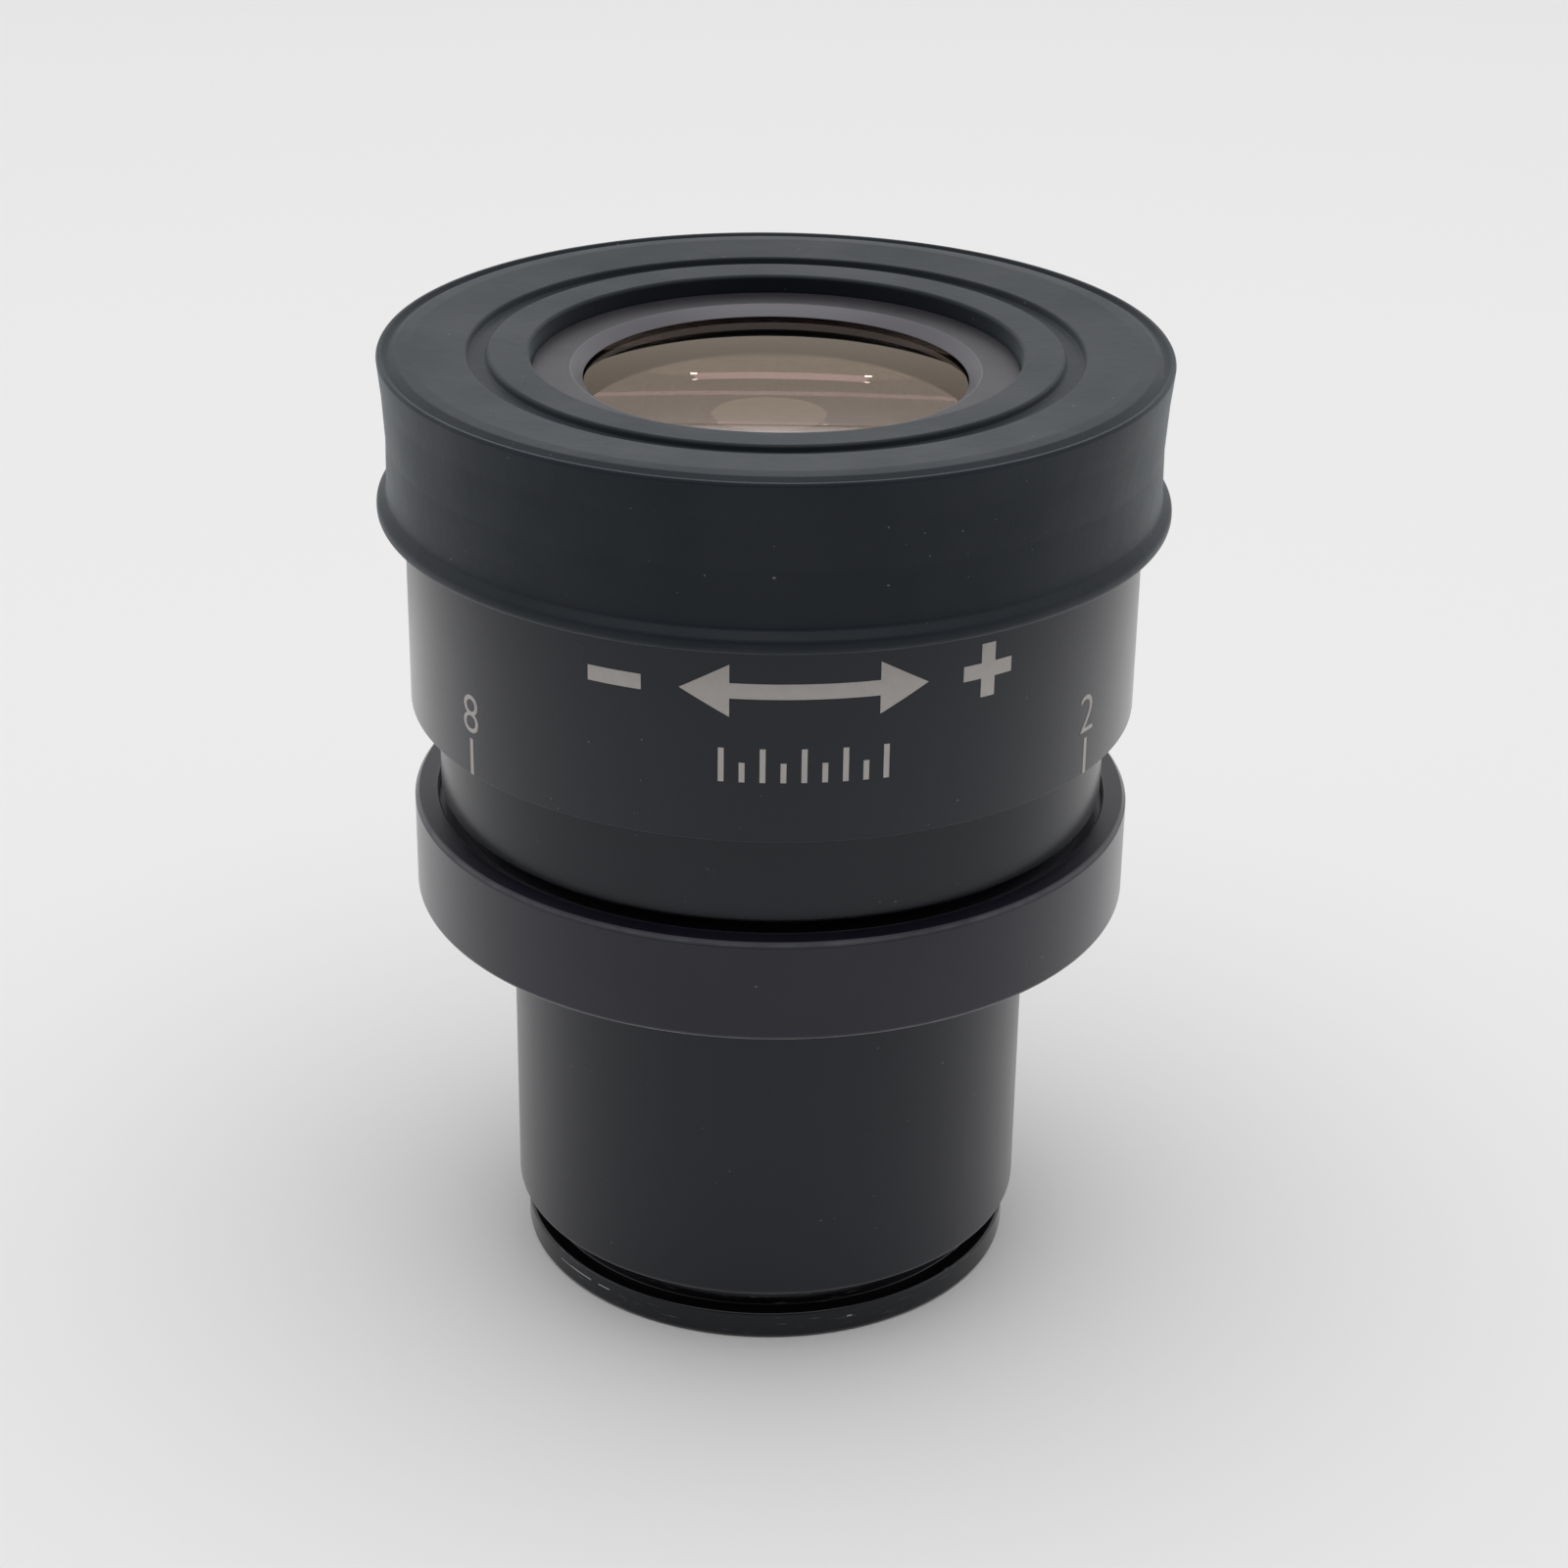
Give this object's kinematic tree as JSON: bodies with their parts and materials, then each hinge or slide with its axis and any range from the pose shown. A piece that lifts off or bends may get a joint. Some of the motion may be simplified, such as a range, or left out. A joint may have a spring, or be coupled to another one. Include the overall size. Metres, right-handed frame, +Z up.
{
  "type": "microscope eyepiece",
  "caption": "Wide-field microscope eyepiece with a plain push-in barrel, a flanged collar, a turning dioptre ring and a rubber eyecup folded down over it.",
  "frame": {"origin": "centre of the lower end, on the optical axis", "axes": "+Z up along the optical axis towards the eye, -Y towards the side of the dioptre ring with the plus and minus marks, +X to the right of that side"},
  "size_m": [0.0442, 0.0442, 0.0553],
  "materials": {
    "gloss_black": "gloss black lacquer",
    "matte_black": "matte black, anti-reflection",
    "black_anodised": "satin black, fine grain",
    "bezel_grey": "satin grey anodised",
    "steel": "plain",
    "brass": "machined",
    "lens_glass": "polished, coated",
    "coated_glass": "polished, warm anti-reflection coating",
    "rubber": "matte moulded rubber"
  },
  "bodies": {
    "body": {"mount_frame": "gloss_black", "field_stop": "matte_black", "stop_retainer": "matte_black", "barrel_tube": "black_anodised", "collar": "black_anodised", "lower_sleeve": "black_anodised"},
    "optics": {"lens_cell": "matte_black", "guide_pin": "steel", "field_flint": "lens_glass", "field_crown": "lens_glass", "middle_lens": "lens_glass", "eye_lens": "coated_glass", "field_retainer": "matte_black", "lower_spacer": "matte_black", "upper_spacer": "matte_black", "bezel_ring": "bezel_grey"},
    "dioptre": {"helicoid_ring": "brass", "keeper_ring": "brass", "dioptre_ring": "black_anodised", "scale_screw_1": "steel", "scale_screw_2": "steel", "scale_screw_3": "steel", "eyecup": "rubber"}
  },
  "joints": [
    {"name": "focus_slide", "type": "slide", "parent": "body", "child": "optics", "axis": [0, 0, 1], "range_m": [-0.00251, 0.00251]},
    {"name": "dioptre_turn", "type": "hinge", "parent": "optics", "child": "dioptre", "pos_m": [0, 0, 0.044], "axis": [0, 0, 1], "range_deg": [-150, 150]}
  ],
  "couplings": [
    {"joint": "focus_slide", "follows": "dioptre_turn", "m_per_rad": 0.00095493}
  ]
}
